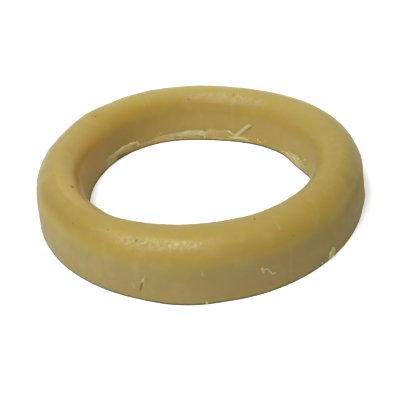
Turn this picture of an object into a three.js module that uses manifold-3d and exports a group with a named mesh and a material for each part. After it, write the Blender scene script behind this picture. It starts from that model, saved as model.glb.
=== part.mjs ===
// Wax ring that seals the outlet of a toilet pan to its drain: one casting in soft wax, with no other piece.
// Millimetres, +Z up. The origin is the centre of the ring's outline, on the flat foot, which is the face
// that was open when the wax was poured. Angles are in degrees, anticlockwise seen from above, and 0 is +X.

import * as THREE from "three";
import { mergeVertices } from "three/addons/utils/BufferGeometryUtils.js";
import Module from "manifold-3d";

// Driving sizes of the section
const BORE_DIAMETER = 88; // at the foot, on the clean wall
const WAX_WIDTH = 19.5; // across the foot, from the bore to the outside
const RING_HEIGHT = 20.8; // foot to the top of the crown
const OUTER_CROWN_RISE = 8.7; // from the top of the outer wall to the top of the crown
const BORE_CROWN_RISE = 8.3; // the same on the bore side
const OUTER_DRAFT = 1.15; // how far the outer wall leans in from foot to crown
const BORE_DRAFT = 0.85; // how far the bore wall leans out from foot to crown
const FOOT_ROUND = 0.25; // soft edge round the outside of the foot
const CROWN_FULLNESS = 0.55; // 0.55 rounds the crown like an ellipse, more makes it squarer

// Facets
const FACETS_ROUND = 168;
const CROWN_FACETS = 8; // in each half of the crown
const WALL_FACETS = 4;
const FOOT_FACETS = 2;

// A soft casting cools and is lifted a little out of round. Each lobe swells by its size, once per wave.
const OUTSIDE_LOBES = [
  { waves: 2, size: 0.57, peak: 101 },
  { waves: 3, size: 0.56, peak: 12 },
  { waves: 4, size: 0.3, peak: 18 },
];
const BORE_LOBES = [
  { waves: 1, size: 0.59, peak: 171 },
  { waves: 3, size: 0.58, peak: 4 },
  { waves: 4, size: 0.37, peak: 33 },
];
const HEIGHT_LOBES = [
  { waves: 1, size: 0.2, peak: 336 },
  { waves: 2, size: 0.28, peak: 111 },
];

// Marks of fingers and of the carton. A mark pushes the wax out from the axis, or towards it where its push
// is negative, and its lift raises or lowers the crown there.
const SHOULDER_MARKS = [
  { angle: 182, reach: 11, push: 0.35, lift: 0 }, // ridge at the near end of the pressed flat
  { angle: 161, reach: 12, push: -0.25, lift: -0.39 }, // the flat
  { angle: 141, reach: 13, push: 0.15, lift: 0.54 }, // wax heaped up at its far end
  { angle: 14, reach: 14, push: 0.2, lift: 0 },
];
const FOOT_MARKS = [
  { angle: 351, reach: 10, push: 0.68 }, // foot spread where the ring was set down
  { angle: 263, reach: 14, push: 0.6 },
];
const RIM_MARKS = [
  { angle: 220, reach: 12, push: -0.54 }, // thumb mark at the rim of the bore
  { angle: 240, reach: 14, push: 0.31 },
];

// Casting flash: a torn skin of wax along the foot of the bore. Its crest is the thick edge near its top.
const FLASH_HEIGHT = 2.6;
const FLASH_THICKNESS = 0.25;
const FLASH_CREST = 0.8; // share of its height at which the skin ends and steps back to the wall
const FLASH_TEARS = [
  { angle: 168, reach: 14, taller: 0.8, crest: 0.1, foot: -0.17 }, // thin smear
  { angle: 137, reach: 19, taller: 1.9, crest: 0.85, foot: -0.3 }, // flap, peeled up and curled inward
  { angle: 110, reach: 6, taller: 0.7, crest: 0.25, foot: 0 }, // crumbled corner of the band
  { angle: 86, reach: 5, taller: -0.6, crest: 0.3, foot: 0 }, // knot in the band
  { angle: 80, reach: 34, taller: 2.4, crest: 0.7, foot: 1.3 }, // thick band
  { angle: 72.5, reach: 5, taller: 0.6, crest: 0.2, foot: 0 }, // point of its torn edge
  { angle: 21, reach: 14, taller: 1, crest: 0.6, foot: 1.1 }, // lump squeezed into the bore
  { angle: 3, reach: 9, taller: 0, crest: -0.2, foot: -1.04 }, // place where the skin broke away
];

// Nick in the outer wall, a slanting cut like a fingernail's. A slant above 0 leans the top of a form from
// upright towards smaller angles.
const NICK = { wall: "outer", angle: 251.4, height: 5, length: 4.4, width: 1, depth: 0.6, slant: -14 };

// Slivers and crumbs of wax smeared on the walls, each of which stands out by its depth
const SCRAPS = [
  { wall: "bore", angle: 61.2, height: 5.2, length: 9.6, width: 1.7, depth: 0.5, slant: 52 }, // long arm
  { wall: "bore", angle: 61, height: 1.5, length: 6.6, width: 1.3, depth: 0.35, slant: 86 }, // short arm
  { wall: "bore", angle: 25, height: 1.4, length: 5, width: 2.2, depth: 0.45, slant: 72 },
  { wall: "bore", angle: 15.5, height: 1.2, length: 3.4, width: 1.6, depth: 0.4, slant: 62 },
  { wall: "outer", angle: 286.1, height: 9, length: 1.6, width: 0.9, depth: 0.3, slant: 24 },
  { wall: "outer", angle: 288.6, height: 7.7, length: 4.3, width: 0.6, depth: 0.22, slant: 49 },
  { wall: "outer", angle: 311.6, height: 1.6, length: 6.6, width: 1.4, depth: 0.5, slant: -71 },
  { wall: "outer", angle: 269.8, height: 0.9, length: 1.2, width: 1, depth: 0.35, slant: 0 },
];

const WAX_COLOUR = "#b49c5a";

const boreRadius = BORE_DIAMETER / 2;
const outerWallTop = RING_HEIGHT - OUTER_CROWN_RISE;
const boreWallTop = RING_HEIGHT - BORE_CROWN_RISE;
const crownRadius = boreRadius + (WAX_WIDTH + BORE_DRAFT - OUTER_DRAFT) / 2;

// 1 at the middle of a mark and 0 from its reach outwards, with no kink between
function fade(angle, mark) {
  const away = THREE.MathUtils.euclideanModulo(angle - mark.angle + 180, 360) - 180;
  const share = Math.min(Math.abs(away) / mark.reach, 1);
  return (1 - share * share) ** 2;
}

function sumOfMarks(angle, marks, key) {
  return marks.reduce((sum, mark) => sum + mark[key] * fade(angle, mark), 0);
}

function sumOfLobes(angle, lobes) {
  const turn = (lobe) => Math.cos(THREE.MathUtils.degToRad(lobe.waves * (angle - lobe.peak)));
  return lobes.reduce((sum, lobe) => sum + lobe.size * turn(lobe), 0);
}

// Half of the crown, from the top of a drafted wall, along which it starts, to the level top of the ring
function crownHalf(wallTopRadius, wallTop, lean) {
  const rise = RING_HEIGHT - wallTop;
  return new THREE.CubicBezierCurve(
    new THREE.Vector2(wallTopRadius, wallTop),
    new THREE.Vector2(wallTopRadius + CROWN_FULLNESS * rise * lean, wallTop + CROWN_FULLNESS * rise),
    new THREE.Vector2(crownRadius + CROWN_FULLNESS * (wallTopRadius - crownRadius), RING_HEIGHT),
    new THREE.Vector2(crownRadius, RING_HEIGHT),
  ).getPoints(CROWN_FACETS);
}

function outerWallRadius(height) {
  return boreRadius + WAX_WIDTH - (OUTER_DRAFT * height) / outerWallTop;
}

function boreWallRadius(height) {
  return boreRadius + (BORE_DRAFT * height) / boreWallTop;
}

// The cast section as a closed outline, from the outside of the foot up, over the crown and down the bore.
// Each point of the flash carries its share of the flash's height.
function sectionPoints() {
  const points = [];
  const add = (radius, height, flashShare = null) => points.push({ radius, height, flashShare });
  for (let i = 0; i <= FOOT_FACETS; i++) {
    const turn = (Math.PI / 2) * (i / FOOT_FACETS);
    const edge = outerWallRadius(FOOT_ROUND) - FOOT_ROUND;
    add(edge + FOOT_ROUND * Math.sin(turn), FOOT_ROUND * (1 - Math.cos(turn)));
  }
  for (let i = 1; i < WALL_FACETS; i++) {
    const height = FOOT_ROUND + ((outerWallTop - FOOT_ROUND) * i) / WALL_FACETS;
    add(outerWallRadius(height), height);
  }
  const outerHalf = crownHalf(outerWallRadius(outerWallTop), outerWallTop, -OUTER_DRAFT / outerWallTop);
  outerHalf.forEach((point) => add(point.x, point.y));
  const boreHalf = crownHalf(boreWallRadius(boreWallTop), boreWallTop, BORE_DRAFT / boreWallTop);
  boreHalf.reverse().slice(1).forEach((point) => add(point.x, point.y));
  for (let i = WALL_FACETS - 1; i > 0; i--) {
    const height = FLASH_HEIGHT + ((boreWallTop - FLASH_HEIGHT) * i) / WALL_FACETS;
    add(boreWallRadius(height), height);
  }
  [1, FLASH_CREST, FLASH_CREST / 2, 0].forEach((share) => {
    add(boreWallRadius(share * FLASH_HEIGHT), share * FLASH_HEIGHT, share);
  });
  return points;
}

// Height of a point of the bore wall once the flash below it has its height at this angle
function stretchedHeight(point, angle) {
  const flashTop = FLASH_HEIGHT + sumOfMarks(angle, FLASH_TEARS, "taller");
  if (point.flashShare !== null) return point.flashShare * flashTop;
  const share = (point.height - FLASH_HEIGHT) / (boreWallTop - FLASH_HEIGHT);
  return flashTop + share * (boreWallTop - flashTop);
}

// Thickness of the flash at a point of it
function flashThickness(point, angle) {
  if (point.flashShare === null || point.flashShare === 1) return 0;
  const crest = sumOfMarks(angle, FLASH_TEARS, "crest");
  const foot = sumOfMarks(angle, FLASH_TEARS, "foot");
  return FLASH_THICKNESS + THREE.MathUtils.lerp(foot, crest, point.flashShare / FLASH_CREST);
}

// Place of a point of the section at an angle round the ring, with every lobe, mark and tear
function placeOnRing(point, angle) {
  const across = THREE.MathUtils.clamp((point.radius - boreRadius) / WAX_WIDTH, 0, 1);
  const up = point.height / RING_HEIGHT;
  const outside = across ** 2;
  const inside = (1 - across) ** 2;
  const onBoreWall = point.radius < crownRadius && point.height < boreWallTop;
  const height = onBoreWall ? stretchedHeight(point, angle) : point.height;
  let radius = onBoreWall ? boreWallRadius(height) - flashThickness(point, angle) : point.radius;
  radius += across * sumOfLobes(angle, OUTSIDE_LOBES) + (1 - across) * sumOfLobes(angle, BORE_LOBES);
  radius += outside * up * sumOfMarks(angle, SHOULDER_MARKS, "push");
  radius += outside * (1 - up) ** 2 * sumOfMarks(angle, FOOT_MARKS, "push");
  radius += inside * up * sumOfMarks(angle, RIM_MARKS, "push");
  const rise = sumOfLobes(angle, HEIGHT_LOBES) + up * sumOfMarks(angle, SHOULDER_MARKS, "lift");
  const turn = THREE.MathUtils.degToRad(angle);
  return new THREE.Vector3(
    radius * Math.cos(turn),
    radius * Math.sin(turn),
    height + up * rise,
  );
}

// The ring turned from its section, then moved point by point out of its perfect round
function castRing() {
  const points = sectionPoints();
  const outline = points.concat(points[0]).map((point) => new THREE.Vector2(point.radius, point.height));
  const geometry = new THREE.LatheGeometry(outline, FACETS_ROUND).rotateX(Math.PI / 2);
  const position = geometry.getAttribute("position");
  for (let i = 0; i < position.count; i++) {
    const point = points[(i % outline.length) % points.length];
    const angle = THREE.MathUtils.radToDeg(Math.atan2(position.getY(i), position.getX(i)));
    const place = placeOnRing(point, angle);
    position.setXYZ(i, place.x, place.y, place.z);
  }
  return geometry;
}

// Point of a wall at a height, which is on the flash where it is low on the bore's wall
function wallPoint(wall, height) {
  if (wall === "outer") return { radius: outerWallRadius(height), height, flashShare: null };
  const flashShare = height < FLASH_HEIGHT ? height / FLASH_HEIGHT : null;
  return { radius: boreWallRadius(height), height, flashShare };
}

// Slim ellipsoid centred on a wall, half of it in the wax, for a nick or a scrap
function slimEllipsoid(form) {
  const ellipsoid = new THREE.SphereGeometry(0.5, 12, 8);
  ellipsoid.scale(2 * form.depth, form.width, form.length);
  ellipsoid.rotateX(THREE.MathUtils.degToRad(form.slant));
  ellipsoid.rotateZ(THREE.MathUtils.degToRad(form.angle));
  const place = placeOnRing(wallPoint(form.wall, form.height), form.angle);
  return ellipsoid.translate(place.x, place.y, place.z);
}

const wasm = await Module();
wasm.setup();

function toSolid(geometry) {
  const bare = geometry.clone();
  bare.deleteAttribute("normal");
  bare.deleteAttribute("uv");
  const merged = mergeVertices(bare, 1e-4);
  const vertProperties = merged.getAttribute("position").array;
  const triVerts = new Uint32Array(merged.index.array);
  return new wasm.Manifold(new wasm.Mesh({ numProp: 3, vertProperties, triVerts }));
}

function toGeometry(solid) {
  const mesh = solid.getMesh();
  const geometry = new THREE.BufferGeometry();
  geometry.setAttribute("position", new THREE.BufferAttribute(mesh.vertProperties, mesh.numProp));
  geometry.setIndex(new THREE.BufferAttribute(mesh.triVerts, 1));
  geometry.computeVertexNormals();
  return geometry;
}

function makeWaxRing() {
  const nicked = toSolid(castRing()).subtract(toSolid(slimEllipsoid(NICK)));
  const solid = SCRAPS.reduce((wax, scrap) => wax.add(toSolid(slimEllipsoid(scrap))), nicked);
  const geometry = toGeometry(solid);
  geometry.computeBoundingBox();
  const middle = geometry.boundingBox.getCenter(new THREE.Vector3());
  geometry.translate(-middle.x, -middle.y, 0); // the lobes and marks leave the outline a little off the axis
  const wax = new THREE.MeshStandardMaterial({ color: WAX_COLOUR, roughness: 0.5, metalness: 0 });
  const ring = new THREE.Mesh(geometry, wax);
  ring.name = "wax_ring";
  return ring;
}

const panSeal = new THREE.Group();
panSeal.add(makeWaxRing());

export default panSeal;
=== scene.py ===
import math
from functools import partial
from typing import NamedTuple

import bmesh
import bpy
import numpy as np
from mathutils import Matrix, Vector
from mathutils.bvhtree import BVHTree


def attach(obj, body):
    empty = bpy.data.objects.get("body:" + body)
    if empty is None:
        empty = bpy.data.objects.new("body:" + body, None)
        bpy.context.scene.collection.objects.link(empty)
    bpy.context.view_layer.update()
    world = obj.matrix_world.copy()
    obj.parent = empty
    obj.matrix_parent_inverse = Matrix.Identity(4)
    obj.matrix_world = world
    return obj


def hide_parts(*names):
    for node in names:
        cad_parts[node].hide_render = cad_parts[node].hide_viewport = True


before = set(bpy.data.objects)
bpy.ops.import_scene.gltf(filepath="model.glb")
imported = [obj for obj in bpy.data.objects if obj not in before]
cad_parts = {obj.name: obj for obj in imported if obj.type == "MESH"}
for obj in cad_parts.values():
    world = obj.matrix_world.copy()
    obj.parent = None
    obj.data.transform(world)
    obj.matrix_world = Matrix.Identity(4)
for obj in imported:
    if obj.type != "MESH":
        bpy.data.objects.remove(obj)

bl_info = {
    "name": "Wax Ring Pan Seal",
    "version": (1, 0, 0),
    "blender": (4, 5, 0),
    "location": "3D View > Sidebar > Wax Ring",
    "description": "Casts a soft wax ring with torn flash, scraps and grit, and sets it on a studio floor",
    "category": "Add Mesh",
}

# Blender works in metres. The wax's numbers are in millimetres and degrees, and the stage's in metres. Angles
# run anticlockwise seen from above, and 0 is +X.
MM = 0.001
CAD_NODE = "wax_ring"
RING_NAME = "Wax_Ring"

# Facets of the casting. They are closest on the flash, where the torn edge needs them.
FACETS_ROUND = 820
FOOT_FACETS = 7
FOOT_EDGE_FACETS = 2
OUTER_WALL_FACETS = 24
CROWN_FACETS = 27  # in each half of the crown
BORE_WALL_FACETS = 14
FLASH_FACETS = 16
SEAM_GAP = 0.002  # facets' corners nearer than this are joined
SAME_PLACE = 0.01  # points nearer than this to the perfect wall, or to the floor, are on it

# Facets of the slivers, how ragged they are as a share of their width, and the size of the noise that does it
SLIVER_STEPS, SLIVER_FACETS, SLIVER_RAG, SLIVER_GRAIN = 60, 12, 0.3, 0.8

# The least and the most that a crumb is stretched along its axes, and the size of the noise that tears it
CRUMB_LEAST, CRUMB_MOST, CRUMB_GRAIN = (0.8, 0.6, 0.6), (1.35, 1.1, 1), 0.5


class Lobe(NamedTuple):
    """A swell that comes once per wave round the ring."""

    waves: int
    size: float
    peak: float


class Mark(NamedTuple):
    """A press mark. It pushes wax out from the axis, or in where its push is below 0, and lifts the crown.
    Its middle is at its angle, and it fades out at its reach."""

    angle: float
    reach: float
    push: float
    lift: float = 0


class Tear(NamedTuple):
    """A stretch of the flash: what it adds to the height, to the thickness at its crest and at its foot, and
    how pale the torn wax is."""

    angle: float
    reach: float
    taller: float
    crest: float
    foot: float
    paleness: float


OUTSIDE_LOBES = (Lobe(2, 0.57, 101), Lobe(3, 0.56, 12), Lobe(4, 0.3, 18))
BORE_LOBES = (Lobe(1, 0.59, 171), Lobe(3, 0.58, 4), Lobe(4, 0.37, 33))
HEIGHT_LOBES = (Lobe(1, 0.2, 336), Lobe(2, 0.28, 111))
SHOULDER_MARKS = (
    Mark(182, 11, 0.35),
    Mark(161, 12, -0.25, -0.39),
    Mark(141, 13, 0.15, 0.54),
    Mark(14, 14, 0.2),
)
FOOT_MARKS = (Mark(351, 10, 0.68), Mark(263, 14, 0.6))
RIM_MARKS = (Mark(220, 12, -0.54), Mark(240, 14, 0.31))
TEARS = [Tear(*row) for row in (
    (168, 14, 0.8, 0.1, -0.17, 0.35),  # thin smear
    (137, 19, 1.9, 0.85, -0.3, 0.85),  # flap, peeled up and curled inward
    (110, 9, 0.7, 0.25, 0, 0.4),  # crumbled corner of the band
    (95, 12, 0, 0, 0, 0.15),  # where the band is palest
    (86, 5, -0.6, 0.3, 0, 0.15),  # knot in the band
    (80, 34, 1.8, 0.5, 1.2, 0.27),  # thick band
    (72.5, 5, 0.4, 0.1, 0, -0.1),  # point of its torn edge
    (21, 14, 1, 0.6, 1.1, 0.5),  # lump squeezed into the bore
    (3, 9, 0, -0.2, -1.04, 0),  # place where the skin broke away
)]
FLAP = TEARS[1]
FLAP_RECESS = (-4, 6, 12)  # where its recess is from the flap's middle, and where it starts to end and ends
FLAP_UNDERCUT = (0.5, 0.64)  # shares of the height between which the flap's rim stands out over its recess
RECESS_SHADE = 0.05  # how much darker the recess is
FLASH_LIP = 0.4  # share of the flash's height at which its torn edge starts to round over
FLASH_PALE = 0.93  # share of it up to which the torn skin is fully pale
THIN_FLASH, THICK_FLASH = 0.05, 0.4  # crests between which the flash goes from fading out to having a lip

# Waves round the torn edge, how ragged it is where the flash is thick, the share of that which is left where
# it is thin, and what the waves' sum is divided by
EDGE_WAVES = (23, 37, 61, 97, 151, 233)
EDGE_RAG, EDGE_LEAST, EDGE_SUM, EDGE_SEED = 0.35, 0.25, 1.3, 41

# Unevenness of the poured surface: wavelength and height. It fades out over this much above the foot.
POUR_WAVES, POUR_FADE = ((34, 0.09), (13, 0.04), (5, 0.008)), 2
RIPPLES, RIPPLE_STRETCH = 20, (0.7, 1.5)  # waves that cross in a ripple, and how their lengths vary
KNOT_SIZE, KNOT_HEIGHT, KNOT_SEED = 2.6, 0.06, 11  # knots in the torn skin


class Patch(NamedTuple):
    """A patch of the crown's skin that is unlike the rest."""

    angle: float
    reach: float
    radius: float
    width: float
    strength: float


# The paleness that the pitted patches add is a painted highlight, laid where the key light's highlights fall.
PITTED = [Patch(*row) for row in (  # finely, so that light glitters on it
    (251, 13, 59, 1.4, 1.0),
    (265, 11, 59.6, 1.2, 0.4),
    (80, 18, 48.2, 1.3, 0.9),
    (61, 16, 47.6, 1.3, 0.8),
)]
PIT_SIZES, PIT_DEPTH, PIT_SEED = (1.4, 2.6), 0.025, 23
PIT_PAINTED_HIGHLIGHT, PIT_PAINTED_GLINTS = 0.48, 0.11  # painted highlight all over a pitted patch, and painted glints that vary from pit to pit
DULLED = (Patch(84, 44, 46.6, 1.3, 0.4),)


class ToneAndLightPatch(NamedTuple):
    """A soft patch whose colour is made warmer, deeper or yellower, or the opposite where a number is below
    0.
    Some stand for the wax's own uneven tone, and some are painted light and shade, marked in the table. Its
    drop
    is its depth below the crown: above 0 on the outside, below 0 on the bore's side."""

    angle: float
    reach: float
    drop: float
    spread: float
    warmer: float
    deeper: float
    yellower: float = 0


TONE_AND_LIGHT_PATCHES = [ToneAndLightPatch(*row) for row in (
    # painted light: the warm glow of light through the wax into the bore's left shoulder
    (172, 75, -5.5, 3.7, 1.35, 0),
    (95, 60, -4, 2.5, 0.3, 1.4),
    # painted sheen: lightens and cools the far crown
    (90, 90, 0.3, 2.8, 0.2, -1.6),
    (184, 44, -13, 8, 1.4, 0, -0.3),
    (204, 26, -13, 8, -1.0, -0.75, -0.25),
    (150, 22, -13, 8, 0.4, -0.6, -0.3),
    (131, 12, -19, 3, 0.8, -0.3),
    # painted light: a warmer, lighter bore crown near 208 degrees
    (208, 26, -3.5, 3, 1.0, -0.5),
    (132, 36, -3.5, 2.5, 0.35, 0),
    (77, 14, -19, 3, -0.8, 0.9),
    (8, 60, -14, 7, -0.3, -0.2),
    (125, 38, -14, 7, 0, 0.5),
    # these four are painted shade: they darken and yellow the right side of the outer crown
    (335, 55, 3, 6, 0.1, 1.1, 0.5),
    (358, 38, 5.2, 4, 0.3, 1.4, 0.8),
    (350, 45, 2.6, 2.2, -0.1, 1),
    (320, 50, 0.8, 2, 0, 0.4),
    (337, 62, 14, 8, 0.5, -0.35),
    (160, 48, 6, 5, -1.2, 1),
    (215, 60, 12, 8, -0.1, -0.5),
    (213, 37, 3, 2.2, -0.8, 1.9),
    (292, 34, 4, 2.5, 0, 0.6),
    (331, 5, 3, 1.8, 0, 0.9),
    (262, 60, 4.8, 2, 0, 0.6),
)]
TONE_AND_LIGHT_TINTS = {  # what a full patch multiplies the colour by
    "warmer": (1.2, 1.09, 0.88),
    "deeper": (0.93, 0.87, 0.7),
    "yellower": (0.97, 1.06, 0.6),
}

# How far over the walls' tops, and below them, the colour and the dullness of the mould's skin fade
COLOUR_FADE = (5, -3)
OUTER_DULLNESS_FADE = (7.5, -1)

FOOT_SHADE_HEIGHTS = (0.9, 0.3)  # between these heights the painted contact shadow along the foot darkens
LOWEST_SKIN = 0.02  # the relief leaves the skin at least this far above the floor, and the foot on it
WALL_NORMAL, CROWN_NORMAL = 0.6, 0.3  # how far up a wall's skin faces at most, and the crown's at least

# Nick in the outer wall, like a fingernail's, with wax thrown up at its top
NICK_ANGLE, NICK_HEIGHT, NICK_LEAN = 251.4, 5.0, 15.0
NICK_LENGTH, NICK_WIDTH, NICK_DEPTH = 4.6, 1.0, 0.6
NICK_RADIUS = 63.7  # of the wall that it is in
NICK_LIP, NICK_LIP_PLACE, NICK_LIP_WIDTH, NICK_LIP_RISE = 0.14, 1.3, 0.28, 1.4
NICK_LIP_PALENESS, NICK_SHADE = 0.4, 0.12
NICK_STEEPNESS = 0.7  # of the groove's sides: 1 would be a plain bowl, and less is steeper
NICK_WINDOW, NICK_CUTS = 4.5, 3  # how far out, and how often, the facets are split there to keep it crisp


class Streak(NamedTuple):
    """A pale line or smear on the skin, or a dark one where its paleness is below 0. Its ends are given as
    (angle, height) on a wall, or (angle, radius) on the crown."""

    side: str
    start: tuple
    end: tuple
    width: float
    paleness: float
    ridge: float


# Mould seams, scratches and smears, a notch in the crown, and a painted shadow line under the band's scrap
STREAKS = [Streak(*row) for row in (
    ("bore", (67, 3), (68, 18), 1.3, 0.16, 0.03),
    ("bore", (114, 6), (113.7, 17.5), 0.9, 0.06, 0.03),
    ("outer", (250, 7.5), (250.1, 12.5), 2.6, 0.2, 0.02),
    ("outer", (237.9, 5.9), (237.6, 4.8), 0.8, 0.4, 0.03),
    ("outer", (239.1, 3.3), (238, 2.5), 0.7, 0.35, 0.03),
    ("outer", (295.2, 3), (295.3, 13.5), 0.9, 0.18, 0.03),
    ("outer", (269.4, 10.2), (268.9, 12.2), 0.35, 0.75, 0.05),
    ("outer", (249.2, 4.4), (248.8, 6), 0.9, 0.6, 0.05),
    ("outer", (252, 7.2), (252.7, 9.5), 0.45, 0.6, 0.05),
    ("crown", (293.6, 56.6), (293.7, 59), 0.45, 0.45, 0.03),
    ("crown", (113.7, 51.8), (113.6, 48.6), 0.6, 0.5, 0.05),
    ("crown", (243, 57.5), (233, 58.5), 0.9, 0.16, 0.02),
    ("bore", (157, 2.2), (153.5, 3.4), 1.2, 0.4, 0.05),
    ("crown", (66.6, 48.4), (64.5, 47.8), 0.8, 0.5, 0.04),
    ("bore", (13, 2.2), (10.5, 4.2), 0.6, -0.3, -0.1),
    ("bore", (21, 4.6), (16, 4.4), 0.7, -0.25, -0.08),
    # painted shadow line under the band's scrap
    ("bore", (98, 1.3), (86, 1.1), 0.5, -0.3, -0.08),
    ("bore", (80, 0.9), (58, 0.8), 1.2, 0.3, 0.02),
    ("bore", (31, 0.9), (16, 0.9), 1.8, 0.45, 0.02),
    ("crown", (68.6, 49.4), (68.4, 47.6), 0.55, -0.6, -0.16),
)]


class Shaving(NamedTuple):
    """A curled sliver of wax that lies on a wall: its width, its thickness as a share of that, the share of
    its width that is left at its two ends, its path as (angle, height, stand-off), and how much paler than
    other torn wax it is, or darker below 0."""

    name: str
    side: str
    width: float
    thickness: float
    ends: tuple
    path: tuple
    paleness: float = 0


SHAVINGS = (
    Shaving("Scrape_Long", "bore", 1.6, 0.25, (0.8, 1.1), (
        (66, 2.4, 0.2), (64, 3.6, 0.2), (62.2, 4.9, 0.2), (59.2, 7.1, 0.25), (56.2, 9.1, 0.2),
    )),
    Shaving("Scrape_Short", "bore", 0.9, 0.5, (0.5, 0.35), (
        (66.8, 2.7, 0.1), (68.5, 3.6, 0.1), (70, 4.3, 0.1), (71.2, 4.4, 0.1),
    )),
    Shaving("Scrape_Foot", "bore", 1.3, 0.4, (0.6, 0.4), (
        (69.6, 1.7, 0.1), (65, 1.9, 0.2), (60.6, 1.9, 0.1), (57, 1.3, 0.1),
    )),
    Shaving("Flap_Rim", "bore", 1.2, 0.3, (0.3, 0.6), (
        (152, 3.4, 0), (148, 3.8, 0), (144, 4.0, 0.1), (140, 4.1, 0.2), (136, 4.2, 0.25),
        (132, 4.2, 0.3), (129, 4.0, 0.3), (126.4, 3.7, 0.3), (124.9, 2.9, 0.2), (124.5, 2.1, 0.1),
    )),
    # The band's scrap is darkened all over by painted shade.
    Shaving("Band_Scrap", "bore", 2.4, 0.07, (0.2, 0.6), (
        (107, 2.7, 0), (102, 3.0, 0), (97, 3.2, 0.05), (92.5, 3.2, 0.05), (88, 3.1, 0.1), (85, 2.8, 0.1),
        (83.2, 2.5, 0),
    ), -0.15),
    Shaving("Lump_Skin", "bore", 1.1, 0.25, (0.3, 0.3), (
        (35, 1.2, 0), (30, 1.8, 0.05), (25.5, 1.5, 0.1), (21.5, 2.2, 0.05), (17.6, 1.7, 0.1), (14.2, 2.2, 0),
    )),
    Shaving("Wall_Fleck", "outer", 1.1, 0.35, (0.8, 0.4), (
        (285.9, 10, 0.05), (286.3, 8.9, 0.1), (286.6, 7.8, 0.05),
    )),
    Shaving("Wall_Curl", "outer", 0.6, 0.6, (0.6, 0.4), (
        (286.8, 9.1, 0.05), (287.6, 9, 0.1), (288.2, 8.1, 0.1), (288.7, 7.1, 0.1), (289.4, 6.6, 0.1),
        (290.3, 6.7, 0),
    )),
    Shaving("Foot_Scrap", "outer", 2.8, 0.25, (0.9, 0.35), (
        (313.6, 3.1, 0.15), (312.6, 2.4, 0.2), (311.8, 1.6, 0.2), (310.6, 0.9, 0.1),
    )),
)


class Fleck(NamedTuple):
    """A crumb or a grain, on a wall at (angle, height) or on the crown at (angle, radius)."""

    side: str
    angle: float
    level: float
    size: float


CRUMBS = [Fleck("bore", *row) for row in (
    (72.4, 4.5, 0.8), (110.6, 4.8, 0.8), (108.7, 5.2, 0.6),
    (84.4, 1.3, 1.3), (51.5, 2.4, 0.9), (50, 2.1, 0.8),
    (125.1, 4, 0.9), (156.4, 2.6, 0.8), (20.2, 3.9, 0.8),
    (18, 3.4, 1.1), (15.6, 3.1, 0.9), (12.1, 5.4, 0.8),
    (12.6, 2.4, 1.0), (8.5, 1.2, 0.9),
)] + [Fleck("outer", *row) for row in (
    (269.8, 0.7, 0.75), (307.5, 1.2, 0.9), (305.6, 0.6, 0.7),
)]

# More crumbs, strewn along the torn edge: how many, where, how large, and how far below the edge they scatter
LOOSE_CRUMBS, LOOSE_ANGLES, LOOSE_SIZES = 46, (46, 122), (0.25, 0.6)
LOOSE_BELOW, LOOSE_SCATTER, LOOSE_LOWEST, LOOSE_SEED = 0.5, 0.6, 0.6, 7

GRAINS = [Fleck("crown", *row) for row in (
    (205, 49.4, 0.85), (288, 53, 0.7), (249.5, 58.8, 0.5),
    (239, 57.3, 0.6), (143.5, 51.8, 0.6), (114.5, 54, 0.65),
    (92.6, 47.3, 0.65), (225, 59.3, 0.45), (297, 61.3, 0.45),
)]

# The photograph's point of view. The lens is for a 36 mm wide sensor and a square picture.
CAMERA_TARGET = Vector((-0.655, 0.597, -4.376)) * MM
CAMERA_DISTANCE = 250 * MM
CAMERA_ELEVATION = math.radians(33.93)
CAMERA_ROLL = math.radians(-3.95)
CAMERA_SENSOR = 36.0
CAMERA_LENS = 56.06
CAMERA_NEAREST = 10 * MM

SHADE_AND_DARK_MARK_COLOUR = "#574a24"  # olive painted shade where the nick is deep, along the foot and under the flap's rim, and the colour of a few dark marks
FULL_SHADE_AND_DARK_MARK = -0.9  # paleness at which the painted shade and dark marks hide the wax
FOOT_CONTACT_SHADE = 0.9  # how dark the painted contact shadow along the foot is
TORN_DULLNESS = 0.16  # what torn wax adds to its roughness
WALL_DULLNESS = 0.33  # what the skin that set against the mould adds
PIT_POLISH = -0.13  # what the pitted patches take from it
WAX_CLOUDING, TORN_CLOUDING = 0.9, -1.3  # how much of the light sinks in, and what torn skin changes that by
SLIVER_CLOUDING = 0.3  # how much of it does in thin slivers
LIGHT_SINKS, LIGHT_SINKS_IN_SLIVERS = 6.0, 0.4  # how deep it does
GRIT_CLOUDS = 0.6  # size of the lighter places in the grit


def linear(hex_colour):
    """Linear RGB of an sRGB hex colour such as #b49c5a."""
    shares = [int(hex_colour[i : i + 2], 16) / 255 for i in (1, 3, 5)]
    return tuple(c / 12.92 if c <= 0.04045 else ((c + 0.055) / 1.055) ** 2.4 for c in shares)


def length_property(name, description, millimetres):
    """A length that a user may change."""
    return bpy.props.FloatProperty(
        name=name, description=description, default=millimetres * MM, unit="LENGTH"
    )


def colour_property(name, description, hex_colour):
    """A colour that a user may change."""
    return bpy.props.FloatVectorProperty(
        name=name, description=description, default=linear(hex_colour), subtype="COLOR"
    )


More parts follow.
